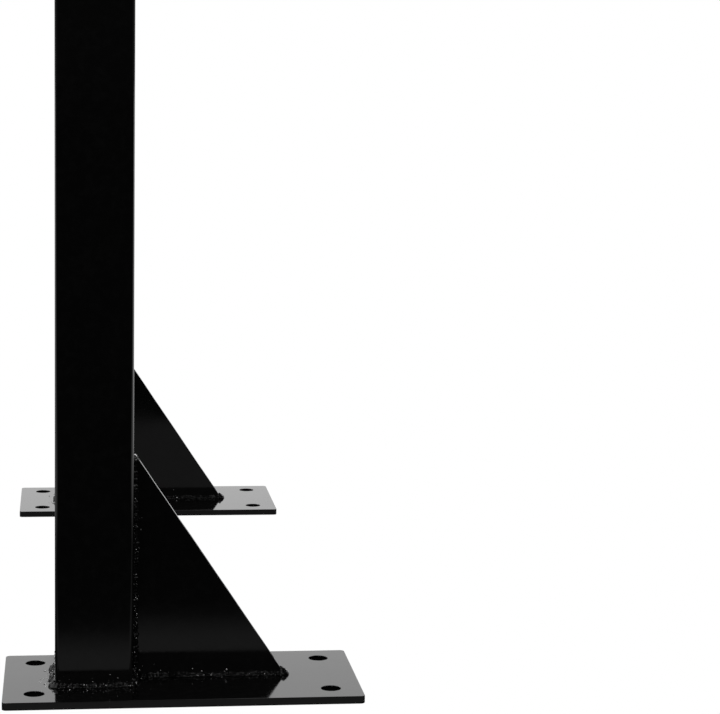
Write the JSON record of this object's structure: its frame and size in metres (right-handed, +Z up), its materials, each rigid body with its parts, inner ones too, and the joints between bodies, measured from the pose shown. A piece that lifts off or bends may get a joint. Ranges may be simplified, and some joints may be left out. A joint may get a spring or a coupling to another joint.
{
  "type": "pull up bar",
  "caption": "Fixed pull up bar: square posts on gusseted bolt-down plates carry a square crossbar with a foam-covered round handle at each end.",
  "frame": {"origin": "on the surface the plates rest on, in the middle of the object's box", "axes": "+Z up, +Y along the crossbar, +X from the posts towards the gussets"},
  "size_m": [0.23, 1.119, 0.603],
  "materials": {
    "black_paint": "gloss black powder coat",
    "weld_paint": "gloss black powder coat over weld beads",
    "cap_plastic": "satin moulded black plastic",
    "plug_plastic": "satin moulded black plastic",
    "foam": "matt closed-cell foam rubber"
  },
  "bodies": {
    "root": {"crossbar": "black_paint", "mounting_plate_left": "black_paint", "post_left": "black_paint", "gusset_left": "black_paint", "post_base_weld_left": "weld_paint", "gusset_post_weld_front_left": "weld_paint", "gusset_post_weld_back_left": "weld_paint", "gusset_plate_weld_front_left": "weld_paint", "gusset_plate_weld_back_left": "weld_paint", "gusset_tip_weld_left": "weld_paint", "crossbar_weld_left": "weld_paint", "end_cap_left": "cap_plastic", "handle_tube_left": "black_paint", "inner_support_outer_left": "black_paint", "inner_support_inner_left": "black_paint", "foam_grip_left": "foam", "end_plug_left": "plug_plastic", "mounting_plate_right": "black_paint", "post_right": "black_paint", "gusset_right": "black_paint", "post_base_weld_right": "weld_paint", "gusset_post_weld_front_right": "weld_paint", "gusset_post_weld_back_right": "weld_paint", "gusset_plate_weld_front_right": "weld_paint", "gusset_plate_weld_back_right": "weld_paint", "gusset_tip_weld_right": "weld_paint", "crossbar_weld_right": "weld_paint", "end_cap_right": "cap_plastic", "handle_tube_right": "black_paint", "inner_support_outer_right": "black_paint", "inner_support_inner_right": "black_paint", "foam_grip_right": "foam", "end_plug_right": "plug_plastic"}
  },
  "joints": []
}
